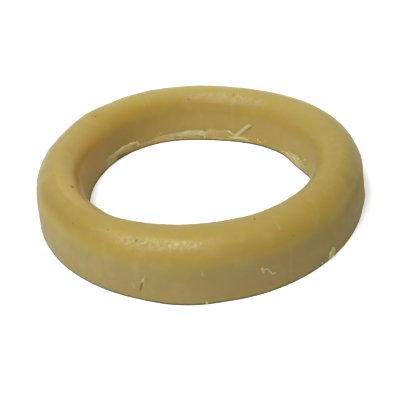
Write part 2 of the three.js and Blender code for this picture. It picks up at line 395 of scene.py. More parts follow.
class WaxRingSizes(bpy.types.PropertyGroup):
    """Sizes and colours of the ring."""

    bore_diameter: length_property("Bore Diameter", "Across the bore at the foot", 88)
    wax_width: length_property("Wax Width", "From the bore to the outside, at the foot", 19.5)
    ring_height: length_property("Ring Height", "From the foot to the top of the crown", 20.8)
    outer_crown_rise: length_property("Outer Crown Rise", "From the outer wall's top to the crown's", 8.7)
    bore_crown_rise: length_property("Bore Crown Rise", "From the bore wall's top to the crown's", 8.3)
    outer_draft: length_property("Outer Draft", "How far the outer wall leans in", 1.15)
    bore_draft: length_property("Bore Draft", "How far the bore wall leans out", 0.85)
    foot_round: length_property("Foot Round", "Soft edge round the outside of the foot", 0.25)
    crown_fullness: bpy.props.FloatProperty(
        name="Crown Fullness", description="0.55 is round, more is squarer", default=0.55,
        subtype="FACTOR", min=0, max=1,
    )
    flash_height: length_property("Flash Height", "Height of the torn skin in the bore", 2.6)
    flash_thickness: length_property("Flash Thickness", "Thickness of the torn skin", 0.25)
    crown_colour: colour_property("Crown", "Wax of the crown, which set in the open", "#b39d4a")
    outside_colour: colour_property("Outer Wall", "Greyer skin that set against the mould", "#af995e")
    bore_colour: colour_property("Bore Wall", "Warmer skin of the bore", "#bda35b")
    bore_shoulder_colour: colour_property("Bore Shoulder", "Orange wax over the bore's wall", "#ba9e4c")
    film_colour: colour_property("Torn Film", "Wax that went pale where it tore", "#ccc089")
    grit_colour: colour_property("Grit", "Dark grains on the crown", "#5c421c")
    floor_colour: colour_property("Floor", "Painted studio floor", "#d9d9d6")


# Sizes that the section is drawn from, as its tree names them. All but the first are the user's own.
SECTION_SIZES = (
    "Bore Radius", "Wax Width", "Ring Height", "Outer Crown Rise", "Bore Crown Rise",
    "Outer Draft", "Bore Draft", "Foot Round", "Crown Fullness", "Flash Height",
)


def fill_inputs(node, inputs):
    """Sets or links a node's inputs, which are named or numbered. A node given for one stands for its first
    output."""
    for name, value in inputs.items():
        if isinstance(value, bpy.types.Node):
            value = value.outputs[0]
        if isinstance(value, bpy.types.NodeSocket):
            node.id_data.links.new(value, node.inputs[name])
        else:
            node.inputs[name].default_value = value


def add_node(tree, kind, inputs=None, **settings):
    """Adds a node with its settings, and sets or links its inputs. Each function that builds a tree ties it
    to that tree, as add."""
    node = tree.nodes.new(kind)
    for name, value in settings.items():
        setattr(node, name, value)
    fill_inputs(node, inputs or {})
    return node


class SoftBox(NamedTuple):
    """A soft studio lamp with white light: where it stands as seen from the ring, its size in metres and its
    power in watts."""

    name: str
    direction: tuple
    size: tuple
    power: float


SOFT_BOXES = (
    SoftBox("Key_Soft_Box", (-0.29, -0.29, 0.91), (0.28, 0.28), 6.95),
    SoftBox("Front_Soft_Box", (-0.13, -0.9, 0.42), (1.0, 0.5), 1.1),
    SoftBox("Rear_Soft_Box", (0.3, 0.6, 0.75), (0.6, 0.6), 0.35),
)
SOFT_BOX_DISTANCE = 0.9
ROOM_LIGHT = 0.05  # light of the white room on the ring, where 1 is white
FLOOR_SIZE = 4.0
FLOOR_LEVEL = -0.05 * MM
FLOOR_LIFT = 0.55  # what the camera sees the floor brighter by near the ring, where its shadow stays
FLOOR_NEAR, FLOOR_FAR = 0.1, 0.8  # distances between which that rises to 1, where the lamps no longer reach
FLOOR_CLOUDS = 0.3  # size of the brushed paint's clouds

# Inputs and the result of a Mix node that mixes colours
MIX_A, MIX_B, MIX_RESULT = 6, 7, 2


def new_material(name):
    """A new material, what adds nodes to it, its shader, and the place that its patterns follow."""
    material = bpy.data.materials.new(name)
    material.use_nodes = True
    add = partial(add_node, material.node_tree)
    place = add("ShaderNodeTexCoord").outputs["Object"]
    return material, add, material.node_tree.nodes["Principled BSDF"], place


def wax_material(name, sizes, torn=False):
    """Petrolatum wax. Light sinks a few millimetres into it, which makes its shadows soft and warm, and its
    skin has the dull gloss of a poured surface that was handled. Where torn is true it is pale and rough all
    over, and otherwise the ring's attributes steer it:
    mould takes its colour from the bore at 0, over the crown at a half, to the outer wall at 1;
    a tint attribute multiplies that, in patches that are partly the wax's own warmer, deeper or yellower tone
    and partly painted light and shade;
    skin is how far it is torn, which makes it pale and rough;
    pale marks scratches and smears, and adds the painted highlight on the pitted patches; below 0 it is
    painted shade along the foot, in the nick, under the flap's rim and in a line under the band's scrap, and
    a few dark marks;
    matt is skin that set dull against the mould;
    pitted is skin with fine pits, on which light glitters."""
    bore, bore_shoulder, crown, outside, film, painted_shade_and_dark_mark = (
        (*colour, 1)
        for colour in (
            sizes.bore_colour, sizes.bore_shoulder_colour, sizes.crown_colour,
            sizes.outside_colour, sizes.film_colour, linear(SHADE_AND_DARK_MARK_COLOUR),
        )
    )
    material, add, surface, place = new_material(name)

    # Cloudy noises, with their clouds' size in mm and their detail, and the range that each one is turned to
    cloudy = {}
    for use, size, detail, low, high, to_low, to_high in (
        ("cooling", 22, 2.0, 0.36, 0.66, -0.05, 0.05),  # where the wax cooled unevenly
        ("wisps", 5, 3.0, 0.5, 0.8, 0.0, 0.16),
        ("torn", 1.6, 4.0, 0.3, 0.6, 0.6, 1.0),  # how far torn skin went pale
        ("scratched", 1, 3.0, 0.3, 0.6, 0.4, 1.0),  # how far a scratch did
        ("gloss", 4, 3.0, 0.35, 0.65, 0.28, 0.4),  # from the fingers that held it
        ("dimples", 3, 3.0, 0.0, 1.0, 0.0, 1.0),
        ("pits", 0.9, 3.0, 0.35, 0.65, 0.0, 1.0),
        ("grain", 0.5, 2.0, 0.0, 1.0, 0.0, 1.0),  # drawn coarser than the real one, to show
    ):
        noise = add("ShaderNodeTexNoise", {"Vector": place, "Scale": 1 / (size * MM), "Detail": detail})
        turned = {"Value": noise, "From Min": low, "From Max": high, "To Min": to_low, "To Max": to_high}
        cloudy[use] = add("ShaderNodeMapRange", turned)

    mould, skin, pale, pitted, matt = (
        add("ShaderNodeAttribute", attribute_name=attribute).outputs["Fac"]
        for attribute in ("mould", "skin", "pale", "pitted", "matt")
    )
    uneven = add("ShaderNodeMath", {0: mould, 1: cloudy["cooling"]})
    ramp = add("ShaderNodeValToRGB", {"Fac": uneven})
    stops = ramp.color_ramp.elements
    stops[0].color, stops[1].color = bore, outside
    stops.new(0.26).color = bore_shoulder
    stops.new(0.5).color = crown
    bumps = [("dimples", 1.0, 0.05), ("pits", pitted, 0.3), ("grain", 1.0, 0.025)]  # and their depths in mm
    if torn:
        colour, share, clouding, depth = ramp, cloudy["torn"], SLIVER_CLOUDING, LIGHT_SINKS_IN_SLIVERS
        del bumps[1]  # only the ring has pits
    else:
        tone_and_light = add("ShaderNodeAttribute", attribute_name="tone_and_light").outputs["Vector"]
        tinted = add("ShaderNodeVectorMath", {0: ramp, 1: tone_and_light}, operation="MULTIPLY")
        torn_skin = add("ShaderNodeMath", {0: skin, 1: cloudy["torn"]}, operation="MULTIPLY")
        lines = add("ShaderNodeMath", {0: pale, 1: cloudy["scratched"]}, operation="MULTIPLY", use_clamp=True)
        both = add("ShaderNodeMath", {0: torn_skin, 1: lines}, use_clamp=True)
        sunk = {0: skin, 1: TORN_CLOUDING, 2: WAX_CLOUDING}
        left = add("ShaderNodeMath", sunk, operation="MULTIPLY_ADD", use_clamp=True)
        colour, share, clouding, depth = tinted, both, left, LIGHT_SINKS

    # Wisps, then torn wax, then painted shade and dark marks, each mixed over what is there
    shaded_and_marked = add("ShaderNodeMapRange", {"Value": pale, "From Min": 0.0, "From Max": FULL_SHADE_AND_DARK_MARK})
    for much, over in ((cloudy["wisps"], film), (share, film), (shaded_and_marked, painted_shade_and_dark_mark)):
        mixed = add("ShaderNodeMix", {0: much, MIX_A: colour, MIX_B: over}, data_type="RGBA")
        colour = mixed.outputs[MIX_RESULT]
    roughness = cloudy["gloss"]
    for much, added in ((share, TORN_DULLNESS), (pitted, PIT_POLISH), (matt, WALL_DULLNESS)):
        roughness = add("ShaderNodeMath", {0: much, 1: added, 2: roughness}, operation="MULTIPLY_ADD")
    under = {}
    for height, strength, deep in bumps:
        bump = {"Strength": strength, "Distance": deep * MM, "Height": cloudy[height], **under}
        under = {"Normal": add("ShaderNodeBump", bump)}

    fill_inputs(surface, {
        "Base Color": colour, "Roughness": roughness, "IOR": 1.44, "Specular IOR Level": 0.31,
        "Subsurface Weight": clouding, "Subsurface Radius": (1.0, 0.55, 0.22), "Subsurface Scale": depth * MM,
        **under,
    })
    return material


def film_material(sizes):
    """The same wax in thin torn slivers and crumbs, which look paler because light passes through them. It is
    made once and shared."""
    name = "Petrolatum_Wax_Torn"
    return bpy.data.materials.get(name) or wax_material(name, sizes, torn=True)


def clouded(add, place, size, colour, other):
    """A colour clouded with another, and the noise that clouds it."""
    noise = add("ShaderNodeTexNoise", {"Vector": place, "Scale": 1 / size, "Detail": 2.0})
    colours = {0: noise, MIX_A: (*colour, 1), MIX_B: (*linear(other), 1)}
    return add("ShaderNodeMix", colours, data_type="RGBA").outputs[MIX_RESULT], noise


def grit_material(sizes):
    """Dark grains of floor dirt pressed in the soft wax: dull brown, with some grains lighter than others."""
    material, add, surface, place = new_material("Dirt_Grit_Embedded")
    mottled, noise = clouded(add, place, GRIT_CLOUDS * MM, sizes.grit_colour, "#7a5a2a")
    bump = add("ShaderNodeBump", {"Strength": 0.6, "Distance": 0.05 * MM, "Height": noise})
    fill_inputs(surface, {"Base Color": mottled, "Roughness": 0.75, "Normal": bump})
    return material


def seen_directly(add):
    """1 for the camera and in reflections and glass, 0 for the light that falls on the ring."""
    rays = add("ShaderNodeLightPath").outputs
    seen = rays["Is Camera Ray"]
    for ray in ("Is Glossy Ray", "Is Transmission Ray"):
        seen = add("ShaderNodeMath", {0: seen, 1: rays[ray]}, operation="MAXIMUM")
    return seen


def floor_material(sizes):
    """Matt white paint on the floor. The camera sees it lifted to white, and the shadow stays on it."""
    material, add, surface, place = new_material("Matt_White_Floor_Paint")
    painted, _ = clouded(add, place, FLOOR_CLOUDS, sizes.floor_colour, "#dededb")
    fill_inputs(surface, {"Base Color": painted, "Roughness": 0.9, "Specular IOR Level": 0.0})
    away = add("ShaderNodeVectorMath", {0: place}, operation="LENGTH").outputs["Value"]
    rise = {"Value": away, "From Min": FLOOR_NEAR, "From Max": FLOOR_FAR, "To Min": FLOOR_LIFT, "To Max": 1.0}
    far = add("ShaderNodeMapRange", rise)
    lift = add("ShaderNodeMath", {0: seen_directly(add), 1: far}, operation="MULTIPLY")
    glow = add("ShaderNodeEmission", {"Color": (1, 1, 1, 1), "Strength": lift})
    both = add("ShaderNodeAddShader", {0: surface, 1: glow})
    fill_inputs(material.node_tree.nodes["Material Output"], {"Surface": both})
    return material


def room_world():
    """A plain white room, which the camera and reflections see as white and which lights the ring less."""
    world = bpy.data.worlds.new("White_Room")
    world.use_nodes = True
    add = partial(add_node, world.node_tree)
    strength = add("ShaderNodeMapRange", {"Value": seen_directly(add), "To Min": ROOM_LIGHT, "To Max": 1.0})
    fill_inputs(world.node_tree.nodes["Background"], {"Color": (1, 1, 1, 1), "Strength": strength})
    return world


# Reading and writing meshes


def read_points(mesh):
    """Positions of a mesh's points, in metres."""
    points = np.empty(len(mesh.vertices) * 3)
    mesh.vertices.foreach_get("co", points)
    return points.reshape(-1, 3)


def read_normals(mesh):
    """Directions in which a mesh's points face."""
    normals = np.empty(len(mesh.vertices) * 3)
    mesh.vertex_normals.foreach_get("vector", normals)
    return normals.reshape(-1, 3)


def write_points(mesh, points):
    """Moves a mesh's points."""
    mesh.vertices.foreach_set("co", points.ravel())
    mesh.update()


def write_attribute(mesh, name, values):
    """Gives each point of a mesh a number, or a direction where the values are triples."""
    kind, key = ("FLOAT_VECTOR", "vector") if np.ndim(values) == 2 else ("FLOAT", "value")
    attribute = mesh.attributes.new(name, kind, "POINT")
    attribute.data.foreach_set(key, np.asarray(values, np.float32).ravel())


def new_object(name, data):
    """A new object in the scene."""
    made = bpy.data.objects.new(name, data)
    bpy.context.scene.collection.objects.link(made)
    return made


def made_by_nodes(name, source, tree, inputs):
    """A plain mesh object from a source mesh and a node tree, whose inputs are given by their names."""
    piece = new_object(name, source)
    maker = piece.modifiers.new(name, "NODES")
    maker.node_group = tree
    for item in tree.interface.items_tree:
        if item.item_type == "SOCKET" and item.in_out == "INPUT" and item.name in inputs:
            maker[item.identifier] = inputs[item.name]
    made = piece.evaluated_get(bpy.context.evaluated_depsgraph_get())
    mesh = bpy.data.meshes.new_from_object(made)
    piece.modifiers.clear()
    piece.data = mesh
    mesh.name = name
    mesh.materials.clear()  # the nodes leave an empty slot before the wax
    mesh.materials.append(inputs["Wax"])
    mesh.polygons.foreach_set("material_index", [0] * len(mesh.polygons))
    return piece


def new_tree(name, sockets):
    """A tree of geometry nodes with named inputs, each with its kind. Returns it, what adds nodes to it, and
    its inputs."""
    tree = bpy.data.node_groups.new(name, "GeometryNodeTree")
    tree.interface.new_socket(name="Geometry", in_out="OUTPUT", socket_type="NodeSocketGeometry")
    for socket, kind in sockets.items():
        tree.interface.new_socket(name=socket, in_out="INPUT", socket_type="NodeSocket" + kind)
    add = partial(add_node, tree)
    return tree, add, add("NodeGroupInput").outputs


def end_tree(tree, geometry, given):
    """Ends a tree with smooth shading, real meshes and the wax."""
    add = partial(add_node, tree)
    smooth = add("GeometryNodeSetShadeSmooth", {"Geometry": geometry})
    real = add("GeometryNodeRealizeInstances", {"Geometry": smooth})
    waxed = add("GeometryNodeSetMaterial", {"Geometry": real, "Material": given["Wax"]})
    add("NodeGroupOutput", {"Geometry": waxed})
    return tree


# Geometry nodes


def ring_tree():
    """The section of the ring, drawn from its sizes and swept round a circle through the top of its crown."""
    sockets = {"Geometry": "Geometry", **dict.fromkeys(SECTION_SIZES, "Float")}
    tree, add, given = new_tree("Wax Ring Section", {**sockets, "Facets Round": "Int", "Wax": "Material"})

    # Radii and heights, each worked out from the sizes and from those before it
    rows = [
        ("Outer Foot", "ADD", "Bore Radius", "Wax Width"),
        ("Outer Top", "SUBTRACT", "Outer Foot", "Outer Draft"),
        ("Bore Top", "ADD", "Bore Radius", "Bore Draft"),
        ("Both Tops", "ADD", "Outer Top", "Bore Top"),
        ("Crown Radius", "MULTIPLY", "Both Tops", 0.5),
        ("Foot Edge", "SUBTRACT", "Outer Foot", "Foot Round"),
    ]
    for side, inward in (("Outer", "SUBTRACT"), ("Bore", "ADD")):
        rows += [
            (f"{side} Wall", "SUBTRACT", "Ring Height", f"{side} Crown Rise"),
            (f"{side} Lean", "DIVIDE", f"{side} Draft", f"{side} Wall"),
            (f"{side} Reach", "MULTIPLY", f"{side} Crown Rise", "Crown Fullness"),
            (f"{side} Drawn In", "MULTIPLY", f"{side} Lean", f"{side} Reach"),
            (f"{side} Above", inward, f"{side} Top", f"{side} Drawn In"),
            (f"{side} Above Height", "ADD", f"{side} Wall", f"{side} Reach"),
            (f"{side} Half", "SUBTRACT", f"{side} Top", "Crown Radius"),
            (f"{side} Handle", "MULTIPLY", f"{side} Half", "Crown Fullness"),
            (f"{side} Aside", "ADD", "Crown Radius", f"{side} Handle"),
        ]
    rows += [
        ("Flash Lean", "MULTIPLY", "Bore Lean", "Flash Height"),
        ("Flash Radius", "ADD", "Bore Radius", "Flash Lean"),
    ]
    length = {name: given[name] for name in SECTION_SIZES}
    for name, operation, first, second in rows:
        values = {0: length.get(first, first), 1: length.get(second, second)}
        length[name] = add("ShaderNodeMath", values, operation=operation)

    # Points of the section: how far out of the path each one lies, and how far below it
    point = {}
    for name, radius, height in (
        ("bore foot", "Bore Radius", 0.0),
        ("foot edge", "Foot Edge", 0.0),
        ("foot corner", "Outer Foot", 0.0),
        ("outer foot", "Outer Foot", "Foot Round"),
        ("outer wall", "Outer Top", "Outer Wall"),
        ("outer above", "Outer Above", "Outer Above Height"),
        ("outer aside", "Outer Aside", "Ring Height"),
        ("crown", "Crown Radius", "Ring Height"),
        ("bore aside", "Bore Aside", "Ring Height"),
        ("bore above", "Bore Above", "Bore Above Height"),
        ("bore wall", "Bore Top", "Bore Wall"),
        ("flash top", "Flash Radius", "Flash Height"),
    ):
        out = add("ShaderNodeMath", {0: length[radius], 1: length["Crown Radius"]}, operation="SUBTRACT")
        down = add("ShaderNodeMath", {0: length.get(height, height), 1: -1.0}, operation="MULTIPLY")
        point[name] = add("ShaderNodeCombineXYZ", {"X": out, "Y": down})

    # Straight runs join two points. Bends have their two handles between them.
    runs = []
    for facets, *path in (
        (FOOT_FACETS, "bore foot", "foot edge"),
        (FOOT_EDGE_FACETS, "foot edge", "foot corner", "foot corner", "outer foot"),
        (OUTER_WALL_FACETS, "outer foot", "outer wall"),
        (CROWN_FACETS, "outer wall", "outer above", "outer aside", "crown"),
        (CROWN_FACETS, "crown", "bore aside", "bore above", "bore wall"),
        (BORE_WALL_FACETS, "bore wall", "flash top"),
        (FLASH_FACETS, "flash top", "bore foot"),
    ):
        ends = {"Start": point[path[0]], "End": point[path[-1]]}
        if len(path) == 2:
            straight = add("GeometryNodeCurvePrimitiveLine", ends)
            run = add("GeometryNodeResampleCurve", {"Curve": straight, "Count": facets + 1})
        else:
            handles = {"Resolution": facets, "Start Handle": point[path[1]], "End Handle": point[path[2]]}
            run = add("GeometryNodeCurvePrimitiveBezierSegment", {**ends, **handles})
        runs.append(run)
    section = add("GeometryNodeJoinGeometry")
    for run in reversed(runs):
        fill_inputs(section, {0: run})
    crown = {"Resolution": given["Facets Round"], "Radius": length["Crown Radius"]}
    circle = add("GeometryNodeCurvePrimitiveCircle", crown)
    swept = add("GeometryNodeCurveToMesh", {"Curve": circle, "Profile Curve": section})
    closed = add("GeometryNodeMergeByDistance", {"Geometry": swept, "Distance": SEAM_GAP * MM})
    outward = add("GeometryNodeFlipFaces", {"Mesh": closed})
    return end_tree(tree, outward, given)


def shaving_tree():
    """A sliver that follows a path of points, which carry its width and the way that its flat side faces."""
    tree, add, given = new_tree("Wax Shaving", {
        "Geometry": "Geometry", "Steps": "Int", "Thickness": "Float", "Raggedness": "Float", "Grain": "Float",
        "Seed": "Float", "Wax": "Material",
    })
    line = add("GeometryNodeMeshToCurve", {"Mesh": given["Geometry"]})
    smooth = add("GeometryNodeCurveSplineType", {"Curve": line}, spline_type="CATMULL_ROM")
    steps = add("GeometryNodeResampleCurve", {"Curve": smooth, "Count": given["Steps"]})
    facing = add("GeometryNodeInputNamedAttribute", {"Name": "facing"}, data_type="FLOAT_VECTOR")
    laid = add("GeometryNodeSetCurveNormal", {"Curve": steps, "Normal": facing}, mode="FREE")
    width = add("GeometryNodeInputNamedAttribute", {"Name": "width"}, data_type="FLOAT")
    circle = add("GeometryNodeCurvePrimitiveCircle", {"Resolution": SLIVER_FACETS, "Radius": 0.5})
    flat = add("ShaderNodeCombineXYZ", {"X": given["Thickness"], "Y": 1.0, "Z": 1.0})
    section = add("GeometryNodeTransform", {"Geometry": circle, "Scale": flat})
    sweep = {"Curve": laid, "Profile Curve": section, "Scale": width, "Fill Caps": True}
    swept = add("GeometryNodeCurveToMesh", sweep)
    return end_tree(tree, roughened(add, swept, given), given)


def roughened(add, geometry, given):
    """Moves a wax scrap's points about by noise, so that it looks torn."""
    seed = add("ShaderNodeCombineXYZ", {"X": given["Seed"]})
    place = add("GeometryNodeInputPosition")
    fine = add("ShaderNodeVectorMath", {0: place, "Scale": given["Grain"]}, operation="SCALE")
    moved = add("ShaderNodeVectorMath", {0: fine, 1: seed}, operation="ADD")
    noise = add("ShaderNodeTexNoise", {"Vector": moved, "Scale": 1.0, "Detail": 2.0})
    mean = {0: noise.outputs["Color"], 1: (0.5, 0.5, 0.5)}
    centred = add("ShaderNodeVectorMath", mean, operation="SUBTRACT")
    offset = add("ShaderNodeVectorMath", {0: centred, "Scale": given["Raggedness"]}, operation="SCALE")
    return add("GeometryNodeSetPosition", {"Geometry": geometry, "Offset": offset})


def crumb_tree():
    """A lumpy crumb on each point, as large as the point says, turned at random."""
    tree, add, given = new_tree("Wax Crumbs", {
        "Geometry": "Geometry", "Flatness": "Float", "Raggedness": "Float", "Grain": "Float", "Seed": "Float",
        "Turn Seed": "Int", "Wax": "Material",
    })
    ball = add("GeometryNodeMeshIcoSphere", {"Radius": 0.5, "Subdivisions": 3})
    size = add("GeometryNodeInputNamedAttribute", {"Name": "size"}, data_type="FLOAT")
    spread = {0: CRUMB_LEAST, 1: CRUMB_MOST, "Seed": given["Turn Seed"]}
    stretch = add("FunctionNodeRandomValue", spread, data_type="FLOAT_VECTOR")
    low = add("ShaderNodeMath", {0: 1.0, 1: given["Flatness"]}, operation="SUBTRACT")
    flat = add("ShaderNodeCombineXYZ", {"X": 1.0, "Y": 1.0, "Z": low})
    shape = add("ShaderNodeVectorMath", {0: stretch, 1: flat}, operation="MULTIPLY")
    scale = add("ShaderNodeVectorMath", {0: shape, "Scale": size}, operation="SCALE")
    facing = add("GeometryNodeInputNamedAttribute", {"Name": "facing"}, data_type="FLOAT_VECTOR")
    upright = add("FunctionNodeAlignRotationToVector", {"Vector": facing}, axis="Z")
    whole = {2: 0.0, 3: math.tau, "Seed": given["Turn Seed"]}
    turn = add("FunctionNodeRandomValue", whole, data_type="FLOAT").outputs[1]
    spin = add("FunctionNodeAxisAngleToRotation", {"Axis": (0, 0, 1), "Angle": turn})
    turned = add("FunctionNodeRotateRotation", {0: upright, 1: spin}, rotation_space="LOCAL")
    strewn = {"Points": given["Geometry"], "Instance": ball, "Rotation": turned, "Scale": scale}
    crumbs = add("GeometryNodeInstanceOnPoints", strewn)
    real = add("GeometryNodeRealizeInstances", {"Geometry": crumbs})
    return end_tree(tree, roughened(add, real, given), given)


# The shape of the hand-pressed ring, in millimetres


def fade(angle, mark):
    """1 at the middle of a mark and 0 from its reach outwards."""
    away = (angle - mark.angle + 180) % 360 - 180
    return (1 - np.minimum(np.abs(away) / mark.reach, 1) ** 2) ** 2


def sum_of_marks(angle, marks, key):
    """What all marks together add at an angle, of the number that key names."""
    return sum(getattr(mark, key) * fade(angle, mark) for mark in marks)


def sum_of_lobes(angle, lobes):
    """How far all lobes together swell at an angle."""
    return sum(lobe.size * np.cos(np.radians(lobe.waves * (angle - lobe.peak))) for lobe in lobes)


def bell(distance, width):
    """1 at no distance, falling to about a third at the width and to nothing at twice that."""
    return np.exp(-((distance / width) ** 2))


def step(low, high, value):
    """0 below low, 1 above high and a smooth rise between."""
    share = np.clip((value - low) / (high - low), 0, 1)
    return share * share * (3 - 2 * share)


def ripple(points, wavelength, seed):
    """Soft unevenness of about 1 over points in space, made of crossing waves."""
    random = np.random.default_rng(seed)
    total = np.zeros(len(points))
    for _ in range(RIPPLES):
        direction = random.normal(size=3)
        length = wavelength * random.uniform(*RIPPLE_STRETCH) * np.linalg.norm(direction)
        total += np.cos(math.tau * (points @ direction) / length + random.uniform(0, math.tau))
    return total * math.sqrt(2 / RIPPLES)


def torn_edge(angle):
    """How far the torn edge of the flash is above its mean, or below, as a share of its raggedness."""
    random = np.random.default_rng(EDGE_SEED)
    turn = np.radians(angle)
    waves = [np.cos(wave * turn + random.uniform(0, math.tau)) * EDGE_WAVES[0] / wave for wave in EDGE_WAVES]
    return sum(waves) / EDGE_SUM


def flash_top(angle, sizes):
    """Height of the flash's torn edge."""
    thick = np.clip(sum_of_marks(angle, TEARS, "crest"), EDGE_LEAST, 1)
    mean = sizes.flash_height / MM + sum_of_marks(angle, TEARS, "taller")
    return mean + EDGE_RAG * thick * torn_edge(angle)


def flap_recess(angle):
    """How far the wax is hollow under the flap's rim."""
    aside, ends, ended = FLAP_RECESS
    return fade(angle, FLAP) ** 0.5 * step(ended, ends, np.abs(angle - FLAP.angle - aside))


def pressed_shape(nominal, sizes):
    """Where the points of the perfect ring lie once the ring is pressed out of round and its flash is torn,
    by the rules of the part's source. Also says how far each point belongs to the pale torn skin, and how far
    up the flash it is."""
    x, y, height = nominal.T
    angle = np.degrees(np.arctan2(y, x)) % 360
    radius = np.hypot(x, y)
    bore_radius = sizes.bore_diameter / 2 / MM
    width, top = sizes.wax_width / MM, sizes.ring_height / MM
    bore_wall_top = top - sizes.bore_crown_rise / MM
    crown_radius = bore_radius + (width + (sizes.bore_draft - sizes.outer_draft) / MM) / 2
    flash = sizes.flash_height / MM
    lean = sizes.bore_draft / MM / bore_wall_top

    across = np.clip((radius - bore_radius) / width, 0, 1)
    up = height / top
    off_wall = np.abs(radius - bore_radius - lean * height)
    on_bore_wall = (off_wall < SAME_PLACE) & (height <= bore_wall_top)
    edge = flash_top(angle, sizes)
    in_flash = on_bore_wall & (height <= flash)
    share = np.clip(height / flash, 0, 1)
    above = edge + (height - flash) / (bore_wall_top - flash) * (bore_wall_top - edge)
    height = np.where(in_flash, share * edge, np.where(on_bore_wall, above, height))

    crest, foot = (sum_of_marks(angle, TEARS, key) for key in ("crest", "foot"))
    thickness = sizes.flash_thickness / MM + foot + (crest - foot) * share
    undercut = flap_recess(angle)
    filled = 1 - undercut + undercut * step(*FLAP_UNDERCUT, share)
    thickness = thickness * filled
    thick = step(THIN_FLASH, THICK_FLASH, crest)  # where it is thin the flash fades out upwards, with no lip
    lip_start = FLASH_LIP * thick
    lip = (1 - np.clip((share - lip_start) / (1 - lip_start), 0, 1) ** 2) ** (1.5 - thick)
    thickness = np.where(in_flash, thickness * lip, 0)

    radius = np.where(on_bore_wall, bore_radius + lean * height, radius) - thickness
    outside, bore = sum_of_lobes(angle, OUTSIDE_LOBES), sum_of_lobes(angle, BORE_LOBES)
    radius = radius + across * outside + (1 - across) * bore
    radius += across**2 * up * sum_of_marks(angle, SHOULDER_MARKS, "push")
    radius += across**2 * (1 - up) ** 2 * sum_of_marks(angle, FOOT_MARKS, "push")
    radius += (1 - across) ** 2 * up * sum_of_marks(angle, RIM_MARKS, "push")
    lift = sum_of_marks(angle, SHOULDER_MARKS, "lift")
    height = height + up * (sum_of_lobes(angle, HEIGHT_LOBES) + up * lift)
    turn = np.radians(angle)
    skin = np.clip(sum_of_marks(angle, TEARS, "paleness"), 0, 1) * step(1, FLASH_PALE, share) * in_flash
    skin = skin * filled
    return np.stack([radius * np.cos(turn), radius * np.sin(turn), height], axis=1), skin, share * in_flash


def streak_share(streak, angle, radius, height):
    """1 on the line of a streak, 0 well away from it."""
    level = radius if streak.side == "crown" else height
    middle = (streak.start[0] + streak.end[0]) / 2
    arc = math.tau / 360 * radius
    here = np.stack([((angle - middle + 180) % 360 - 180) * arc, level], axis=1)
    start, end = (
        np.stack([(a - middle) * arc, np.full(len(arc), b)], axis=1) for a, b in (streak.start, streak.end)
    )
    along = end - start
    share = np.clip(((here - start) * along).sum(1) / (along**2).sum(1), 0, 1)
    gap = np.linalg.norm(here - start - share[:, None] * along, axis=1)
    return bell(gap, streak.width / 2)


def patch_share(patches, angle, radius):
    """How far each point belongs to a kind of patch."""
    return sum(
        patch.strength * fade(angle, patch) * bell(radius - patch.radius, patch.width) for patch in patches
    )


def tone_and_light_tint(angle, drop):
    """What the patches of tone and painted light multiply each point's colour by."""
    tint = np.ones((len(angle), 3))
    for key, full in TONE_AND_LIGHT_TINTS.items():
        share = sum(
            getattr(tone_and_light, key) * fade(angle, tone_and_light) * bell(drop - tone_and_light.drop, tone_and_light.spread)
            for tone_and_light in TONE_AND_LIGHT_PATCHES
        )
        tint *= np.asarray(full) ** share[:, None]
    return tint


def nick_relief(angle, height):
    """Height of the nick, below 0, and of the lips that it threw up. Also how deep in it each point is, and
    how far up on its lips."""
    arc = math.radians(1) * NICK_RADIUS
    aside, above = (angle - NICK_ANGLE) * arc, height - NICK_HEIGHT
    lean = math.radians(NICK_LEAN)
    across = aside * math.cos(lean) - above * math.sin(lean)
    along = aside * math.sin(lean) + above * math.cos(lean)
    reach = np.hypot(across / (NICK_WIDTH / 2), along / (NICK_LENGTH / 2))
    groove = -NICK_DEPTH * np.clip(1 - reach**2, 0, 1) ** NICK_STEEPNESS
    lips = NICK_LIP * bell(reach - NICK_LIP_PLACE, NICK_LIP_WIDTH) * step(0, NICK_LIP_RISE, along)
    return groove + lips, np.clip(1 - reach, 0, 1) ** 0.5, lips / NICK_LIP


def split_round_nick(mesh):
    """Splits the facets round the nick in four each way."""
    shape = bmesh.new()
    shape.from_mesh(mesh)
    near = []
    for face in shape.faces:
        middle = face.calc_center_median() / MM
        radius = middle.xy.length
        angle = math.degrees(math.atan2(middle.y, middle.x)) % 360
        arc = math.radians(abs(angle - NICK_ANGLE)) * radius
        on_wall = radius > NICK_RADIUS - NICK_WINDOW
        if on_wall and arc < NICK_WINDOW / 2 and abs(middle.z - NICK_HEIGHT) < NICK_WINDOW:
            near.append(face)
    edges = list({edge for face in near for edge in face.edges})
    bmesh.ops.subdivide_edges(shape, edges=edges, cuts=NICK_CUTS, use_grid_fill=True)
    shape.to_mesh(mesh)
    shape.free()


# Places on the finished ring. A ray finds each one, from the axis, or from well outside or above.
RAY_FROM_OUTSIDE, RAY_FROM_ABOVE = 100 * MM, 50 * MM


class RingSurface:
    """Finds places on the finished ring's skin."""

    def __init__(self):
        ring = bpy.data.objects.get(RING_NAME)
        if ring is None:
            raise RuntimeError("Cast the ring first: the scraps lie on it")
        self.axis = Vector((*ring["axis"], 0))
        self.tree = BVHTree.FromObject(ring, bpy.context.evaluated_depsgraph_get())

    def spot(self, side, angle, level):
        """The place on the skin, in metres, and the way that it faces. level is a height in mm, or a radius
        on the crown."""
        turn = math.radians(angle)
        outward = Vector((math.cos(turn), math.sin(turn), 0))
        start, heading = {
            "bore": (self.axis + Vector((0, 0, level * MM)), outward),
            "outer": (self.axis + outward * RAY_FROM_OUTSIDE + Vector((0, 0, level * MM)), -outward),
            "crown": (self.axis + outward * level * MM + Vector((0, 0, RAY_FROM_ABOVE)), Vector((0, 0, -1))),
        }[side]
        place, facing, _, _ = self.tree.ray_cast(start, heading)
        if place is None:
            raise RuntimeError(f"No wax at {side} {angle} {level}")
        return place, facing


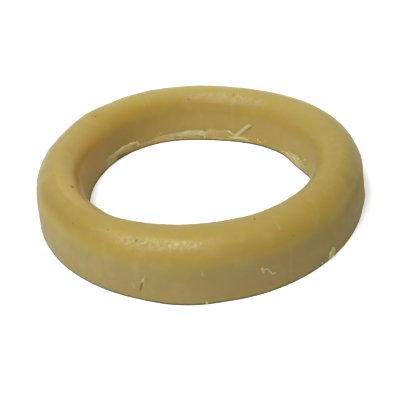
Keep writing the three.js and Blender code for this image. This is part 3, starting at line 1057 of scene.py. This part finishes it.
def point_cloud(name, places, attributes):
    """A mesh of loose points, or of one line of points where edges are given, with their attributes."""
    mesh = bpy.data.meshes.new(name)
    mesh.from_pydata([tuple(place) for place in places], attributes.pop("edges", []), [])
    for key, values in attributes.items():
        write_attribute(mesh, key, values)
    return mesh


def crumb_piece(name, flecks, material, flatness, ragged, sunk, seed):
    """Crumbs or grains at their places on the ring, each sunk in the skin by a share of its size, flattened
    by a share of it, and ragged by so many millimetres."""
    surface = RingSurface()
    places, facings, sizes = [], [], []
    for fleck in flecks:
        place, facing = surface.spot(fleck.side, fleck.angle, fleck.level)
        places.append(place + facing * fleck.size * MM * (0.5 - sunk) * (1 - flatness))
        facings.append(tuple(facing))
        sizes.append(fleck.size * MM)
    source = point_cloud(name, places, {"facing": facings, "size": sizes})
    inputs = {
        "Flatness": flatness, "Raggedness": ragged * MM, "Grain": 1 / (CRUMB_GRAIN * MM),
        "Seed": float(seed), "Turn Seed": seed, "Wax": material,
    }
    return made_by_nodes(name, source, crumb_tree(), inputs)


def ride_as_wax(piece):
    """Ties a piece to the one body."""
    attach(piece, "root")


# Operators, one for each piece or group of like pieces, and one for the stage


class CastWaxRing(bpy.types.Operator):
    """Cast the ring: a swept section, pressed out of round, with its flash torn along the foot of the bore"""

    bl_idname = "wax_ring.cast_ring"
    bl_label = "Cast Wax Ring"

    def execute(self, context):
        sizes = context.scene.wax_ring_sizes
        wax = wax_material("Petrolatum_Wax_Poured", sizes)
        own = {name: getattr(sizes, name.lower().replace(" ", "_")) for name in SECTION_SIZES[1:]}
        inputs = {"Bore Radius": sizes.bore_diameter / 2, **own, "Facets Round": FACETS_ROUND, "Wax": wax}
        ring = made_by_nodes(RING_NAME, bpy.data.meshes.new(RING_NAME), ring_tree(), inputs)
        split_round_nick(ring.data)
        self.press(ring, sizes)
        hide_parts(CAD_NODE)
        ride_as_wax(ring)
        return {"FINISHED"}

    def press(self, ring, sizes):
        """Moves the perfect ring's points to where the wax is, first the broad shape and then its relief, and
        says in attributes how the wax looks there."""
        mesh = ring.data
        pressed, skin, share = pressed_shape(read_points(mesh) / MM, sizes)
        write_points(mesh, pressed * MM)
        normals = read_normals(mesh)
        angle = np.degrees(np.arctan2(pressed[:, 1], pressed[:, 0])) % 360
        radius, height = np.hypot(pressed[:, 0], pressed[:, 1]), pressed[:, 2]
        outside = radius > (sizes.bore_diameter + sizes.wax_width) / 2 / MM
        on_outer_wall = outside & (np.abs(normals[:, 2]) < WALL_NORMAL)

        relief = sum(size * ripple(pressed, length, seed) for seed, (length, size) in enumerate(POUR_WAVES))
        relief = relief * step(0, POUR_FADE, height)
        relief += KNOT_HEIGHT * skin * ripple(pressed, KNOT_SIZE, KNOT_SEED)
        # Painted contact shadow along the foot, inside and out.
        pale = -FOOT_CONTACT_SHADE * step(*FOOT_SHADE_HEIGHTS, height)
        # Painted shade in the recess under the flap's rim.
        recess = flap_recess(angle) * (share > 0)
        pale -= RECESS_SHADE * recess * step(FLAP_UNDERCUT[1], FLAP_UNDERCUT[0], share)
        pitted, dulled = (patch_share(patches, angle, radius) for patches in (PITTED, DULLED))
        pits = sum(ripple(pressed, size, PIT_SEED + number) for number, size in enumerate(PIT_SIZES))
        relief += PIT_DEPTH * pitted * pits
        # Painted highlight and glints on the pitted patches.
        pale += pitted * (PIT_PAINTED_HIGHLIGHT + PIT_PAINTED_GLINTS * pits)
        side = {"outer": on_outer_wall, "bore": ~outside, "crown": normals[:, 2] > CROWN_NORMAL}
        for streak in STREAKS:
            marked = streak_share(streak, angle, radius, height) * side[streak.side]
            relief += streak.ridge * marked
            pale += streak.paleness * marked
        nick, in_nick, on_lip = nick_relief(angle, height)
        relief += nick * on_outer_wall
        # Painted shade in the nick's groove, and paler lips round it.
        pale += (NICK_LIP_PALENESS * on_lip * (1 - in_nick) - NICK_SHADE * in_nick) * on_outer_wall

        moved = pressed + normals * relief[:, None]
        moved[:, 2] = np.where(height < SAME_PLACE, 0, np.maximum(moved[:, 2], LOWEST_SKIN))
        middle = (pressed[:, :2].max(0) + pressed[:, :2].min(0)) / 2
        moved[:, :2] -= middle  # the press marks leave the outline a little off the axis
        write_points(mesh, moved * MM)
        ring["axis"] = [-middle[0] * MM, -middle[1] * MM]

        drop = np.where(outside, 1, -1) * np.clip(height.max() - height, 0, None)
        outer_wall_top = (sizes.ring_height - sizes.outer_crown_rise) / MM
        bore_wall_top = (sizes.ring_height - sizes.bore_crown_rise) / MM
        coloured = step(*(outer_wall_top + level for level in COLOUR_FADE), height)
        dull = step(*(outer_wall_top + level for level in OUTER_DULLNESS_FADE), height)
        for name, values in {
            "mould": 0.5 + np.where(outside, 0.5, -0.5) * coloured,
            "matt": np.maximum(np.where(outside, dull, coloured), dulled),
            "tone_and_light": tone_and_light_tint(angle, drop),
            "pitted": pitted * (height > bore_wall_top),
            "skin": skin,
            "pale": pale,
        }.items():
            write_attribute(mesh, name, values)


class LayShavings(bpy.types.Operator):
    """Lay the slivers of wax on the walls: the scrape in the bore, the flap's rim and the scraps outside"""

    bl_idname = "wax_ring.lay_shavings"
    bl_label = "Lay Wax Shavings"

    def execute(self, context):
        sizes = context.scene.wax_ring_sizes
        surface = RingSurface()
        wax = film_material(sizes)
        tree = shaving_tree()
        for number, shaving in enumerate(SHAVINGS):
            places, facings = [], []
            for angle, height, stand_off in shaving.path:
                place, facing = surface.spot(shaving.side, angle, height)
                places.append(place + facing * stand_off * MM)
                facings.append(tuple(facing))
            count = len(places)
            first, last = shaving.ends
            taper = np.interp(np.arange(count), (0, 1, count - 2, count - 1), (first, 1, 1, last))
            source = point_cloud(shaving.name, places, {
                "edges": [(i, i + 1) for i in range(count - 1)],
                "facing": facings,
                "width": shaving.width * MM * taper,
            })
            inputs = {
                "Steps": SLIVER_STEPS, "Thickness": shaving.thickness, "Grain": 1 / (SLIVER_GRAIN * MM),
                "Raggedness": SLIVER_RAG * shaving.width * MM, "Seed": 3.0 * number, "Wax": wax,
            }
            piece = made_by_nodes(shaving.name, source, tree, inputs)
            write_attribute(piece.data, "pale", [shaving.paleness] * len(piece.data.vertices))
            ride_as_wax(piece)
        return {"FINISHED"}


class StrewCrumbs(bpy.types.Operator):
    """Strew crumbs of wax along the torn edge of the flash"""

    bl_idname = "wax_ring.strew_crumbs"
    bl_label = "Strew Wax Crumbs"

    def execute(self, context):
        sizes = context.scene.wax_ring_sizes
        random = np.random.default_rng(LOOSE_SEED)
        loose = []
        for _ in range(LOOSE_CRUMBS):
            angle = random.uniform(*LOOSE_ANGLES)
            height = flash_top(angle, sizes) + random.normal(-LOOSE_BELOW, LOOSE_SCATTER)
            loose.append(Fleck("bore", angle, max(height, LOOSE_LOWEST), random.uniform(*LOOSE_SIZES)))
        flecks, wax = (*CRUMBS, *loose), film_material(sizes)
        crumbs = crumb_piece("Wax_Crumbs", flecks, wax, flatness=0.35, ragged=0.3, sunk=0.3, seed=5)
        ride_as_wax(crumbs)
        return {"FINISHED"}


class PressGrit(bpy.types.Operator):
    """Press the dark grains of dirt into the crown"""

    bl_idname = "wax_ring.press_grit"
    bl_label = "Press Grit In"

    def execute(self, context):
        dirt = grit_material(context.scene.wax_ring_sizes)
        grit = crumb_piece("Grit", GRAINS, dirt, flatness=0.5, ragged=0.25, sunk=0.35, seed=9)
        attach(grit, "root")
        return {"FINISHED"}


class SetStage(bpy.types.Operator):
    """Set the floor, the soft boxes, the room's light and the camera"""

    bl_idname = "wax_ring.set_stage"
    bl_label = "Set Stage"

    def execute(self, context):
        scene = context.scene
        floor_mesh = bpy.data.meshes.new("Studio_Floor")
        half = FLOOR_SIZE / 2
        square = ((-half, -half), (half, -half), (half, half), (-half, half))
        corners = [(x, y, FLOOR_LEVEL) for x, y in square]
        floor_mesh.from_pydata(corners, [], [(0, 1, 2, 3)])
        floor_mesh.materials.append(floor_material(scene.wax_ring_sizes))
        floor = new_object("Studio_Floor", floor_mesh)

        for box in SOFT_BOXES:
            lamp = bpy.data.lights.new(box.name, "AREA")
            lamp.shape = "ELLIPSE"
            lamp.size, lamp.size_y = box.size
            lamp.energy = box.power
            holder = new_object(box.name, lamp)
            direction = Vector(box.direction).normalized()
            holder.location = direction * SOFT_BOX_DISTANCE
            holder.rotation_mode = "QUATERNION"
            holder.rotation_quaternion = direction.to_track_quat("Z", "Y")
        scene.world = room_world()

        lens = bpy.data.cameras.new("Photo_View")
        lens.sensor_width, lens.lens, lens.clip_start = CAMERA_SENSOR, CAMERA_LENS, CAMERA_NEAREST
        camera = new_object("Photo_View", lens)
        back = Vector((0, -math.cos(CAMERA_ELEVATION), math.sin(CAMERA_ELEVATION)))
        upright = back.to_track_quat("Z", "Y").to_matrix().to_4x4()
        tilt = Matrix.Rotation(CAMERA_ROLL, 4, "Z")
        camera.matrix_world = Matrix.Translation(CAMERA_TARGET + back * CAMERA_DISTANCE) @ upright @ tilt
        scene.camera = camera
        scene.view_settings.view_transform = "Standard"
        return {"FINISHED"}


class WaxRingPanel(bpy.types.Panel):
    """The ring's sizes and the steps that make it"""

    bl_idname = "VIEW3D_PT_wax_ring"
    bl_label = "Wax Ring"
    bl_space_type = "VIEW_3D"
    bl_region_type = "UI"
    bl_category = "Wax Ring"

    def draw(self, context):
        sizes = context.scene.wax_ring_sizes
        for name in WaxRingSizes.__annotations__:
            self.layout.prop(sizes, name)
        for operator in OPERATORS:
            self.layout.operator(operator.bl_idname)


OPERATORS = (CastWaxRing, LayShavings, StrewCrumbs, PressGrit, SetStage)
CLASSES = (WaxRingSizes, *OPERATORS, WaxRingPanel)


def register():
    for cls in CLASSES:
        bpy.utils.register_class(cls)
    bpy.types.Scene.wax_ring_sizes = bpy.props.PointerProperty(type=WaxRingSizes)


def unregister():
    del bpy.types.Scene.wax_ring_sizes
    for cls in reversed(CLASSES):
        bpy.utils.unregister_class(cls)


def main():
    """Makes every piece and the stage."""
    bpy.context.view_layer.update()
    register()
    bpy.ops.wax_ring.cast_ring()
    bpy.ops.wax_ring.lay_shavings()
    bpy.ops.wax_ring.strew_crumbs()
    bpy.ops.wax_ring.press_grit()
    bpy.ops.wax_ring.set_stage()


if __name__ == "__main__":
    main()
